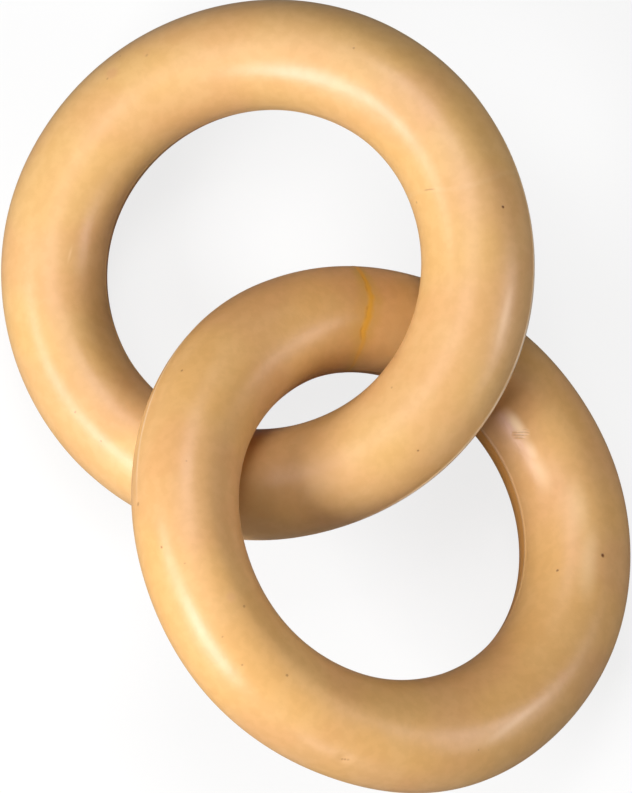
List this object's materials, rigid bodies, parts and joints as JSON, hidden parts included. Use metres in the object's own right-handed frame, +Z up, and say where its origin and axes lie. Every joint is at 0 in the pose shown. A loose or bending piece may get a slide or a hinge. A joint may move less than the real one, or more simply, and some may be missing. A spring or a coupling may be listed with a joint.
{
  "type": "interlinked ring chew toy",
  "caption": "Solid rubber rings linked like a chain, one cut and cemented shut, for a dog to chew, carry and tug.",
  "frame": {"origin": "on the table, under the midpoint between the two ring centres", "axes": "+Z up from the table the toy lies on; +Y from the lower ring's centre towards the upper ring's; +X towards the side where the upper ring is the higher one"},
  "size_m": [0.1422, 0.2287, 0.073],
  "materials": {
    "ring_rubber": "tan natural rubber, moulded and washed, satin",
    "amber_cement": "amber rubber cement, cured, satin"
  },
  "bodies": {
    "upper_ring": {"upper_ring": "ring_rubber"},
    "lower_ring": {"lower_ring": "ring_rubber", "splice_cement": "amber_cement"}
  },
  "joints": [
    {"name": "link_round", "type": "hinge", "parent": "upper_ring", "child": "lower_ring", "pos_m": [0, 0.0392, 0.03649], "axis": [-0.3547, 0.0498, 0.9337], "continuous": true}
  ]
}
